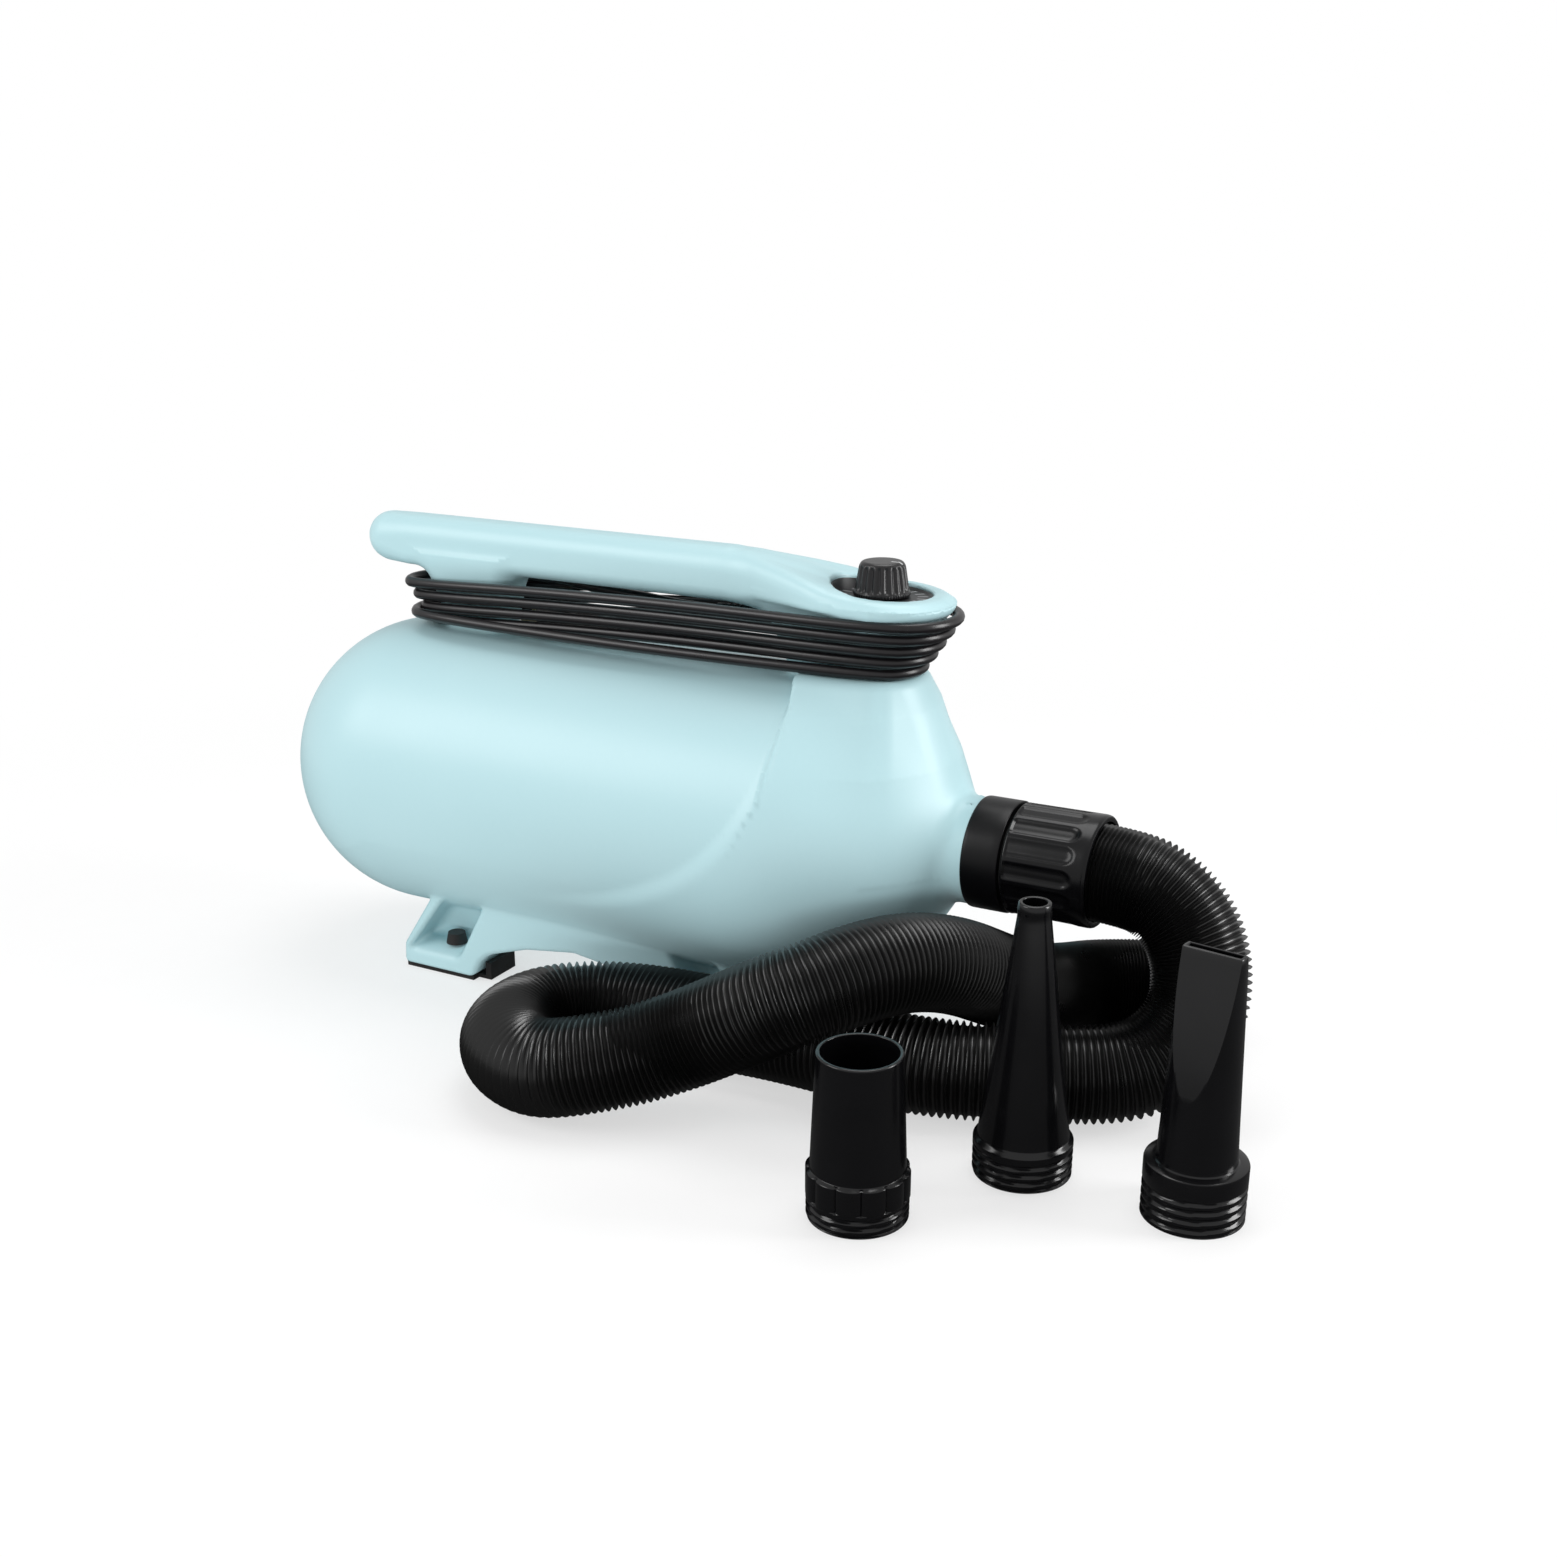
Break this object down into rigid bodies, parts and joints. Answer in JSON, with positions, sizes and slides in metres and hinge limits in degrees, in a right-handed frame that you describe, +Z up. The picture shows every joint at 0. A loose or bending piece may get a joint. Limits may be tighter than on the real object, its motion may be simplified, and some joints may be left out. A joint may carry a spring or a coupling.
{
  "type": "pet dryer",
  "caption": "Forced-air pet dryer: barrel blower with carrying handle, speed knob, wound mains cord, ribbed hose and loose round, cone and flat nozzles.",
  "frame": {"origin": "on the floor under the middle of the feet", "axes": "+X out of the air outlet, +Y away from the side that the hose lies on, +Z up"},
  "size_m": [0.6732, 0.344, 0.2883],
  "materials": {
    "shell": "satin moulded",
    "cover": "satin moulded",
    "foot_rubber": "matte",
    "screw": "black zinc plated",
    "foam": "open-cell foam",
    "fan_metal": "spun and pressed",
    "inner_plastic": "moulded",
    "steel": "machined",
    "copper": "enamelled copper",
    "carbon": "carbon",
    "mount_rubber": "matte",
    "dial": "satin with light marks",
    "knob": "satin",
    "board": "laminate",
    "capacitor": "glossy",
    "lead": "insulated",
    "cord": "glossy sheath",
    "plug_metal": "bright",
    "outlet": "satin",
    "hose": "glossy ribbed",
    "nozzle": "glossy moulded"
  },
  "bodies": {
    "base": {"left_shell": "shell", "right_shell": "shell", "rubber_feet": "foot_rubber", "housing_screws": "screw", "motor_screws": "screw", "potentiometer_nut": "screw", "foam_filter": "foam", "sound_foam": "foam", "fan_case": "fan_metal", "fan_end_plate": "fan_metal", "heat_sink": "fan_metal", "diffuser": "inner_plastic", "brush_holders": "inner_plastic", "potentiometer": "inner_plastic", "rear_bearing": "steel", "front_bearing": "steel", "motor_bracket": "steel", "field_core": "steel", "field_coils": "copper", "carbon_brushes": "carbon", "rear_motor_gasket": "mount_rubber", "front_motor_mount": "mount_rubber", "outlet_seal": "mount_rubber", "dial_plate": "dial", "control_board": "board", "board_capacitor": "capacitor", "motor_leads": "lead", "mains_lead": "lead", "strain_relief": "cord", "power_cord": "cord", "plug_body": "cord", "plug_blades": "plug_metal", "outlet_adapter": "outlet", "hose_end_cuff": "outlet", "hose": "hose"},
    "knob": {"speed_knob": "knob", "potentiometer_shaft": "steel"},
    "rotor": {"first_impeller": "fan_metal", "second_impeller": "fan_metal", "impeller_spacer": "fan_metal", "rotor_shaft": "steel", "armature": "steel", "commutator": "copper"},
    "intake_cover": {"filter_cover": "cover"},
    "coupling": {"hose_coupling": "outlet"},
    "short_nozzle": {"nozzle_short": "nozzle"},
    "cone_nozzle": {"nozzle_cone": "nozzle"},
    "flat_nozzle": {"nozzle_flat": "nozzle"}
  },
  "joints": [
    {"name": "knob_turn", "type": "hinge", "parent": "base", "child": "knob", "pos_m": [0.18, 0, 0.268], "axis": [0, 0, 1], "range_deg": [-280, 0]},
    {"name": "rotor_spin", "type": "hinge", "parent": "base", "child": "rotor", "pos_m": [0, 0, 0.127], "axis": [1, 0, 0], "continuous": true},
    {"name": "cover_pull", "type": "slide", "parent": "base", "child": "intake_cover", "axis": [-1, 0, 0], "range_m": [0, 0.04]},
    {"name": "coupling_turn", "type": "hinge", "parent": "base", "child": "coupling", "pos_m": [0.3, 0, 0.127], "axis": [1, 0, 0], "range_deg": [0, 90]},
    {"name": "short_nozzle_lift", "type": "slide", "parent": "base", "child": "short_nozzle", "axis": [0, 0, 1], "range_m": [0, 0.06]},
    {"name": "cone_nozzle_lift", "type": "slide", "parent": "base", "child": "cone_nozzle", "axis": [0, 0, 1], "range_m": [0, 0.06]},
    {"name": "flat_nozzle_lift", "type": "slide", "parent": "base", "child": "flat_nozzle", "axis": [0, 0, 1], "range_m": [0, 0.06]}
  ]
}
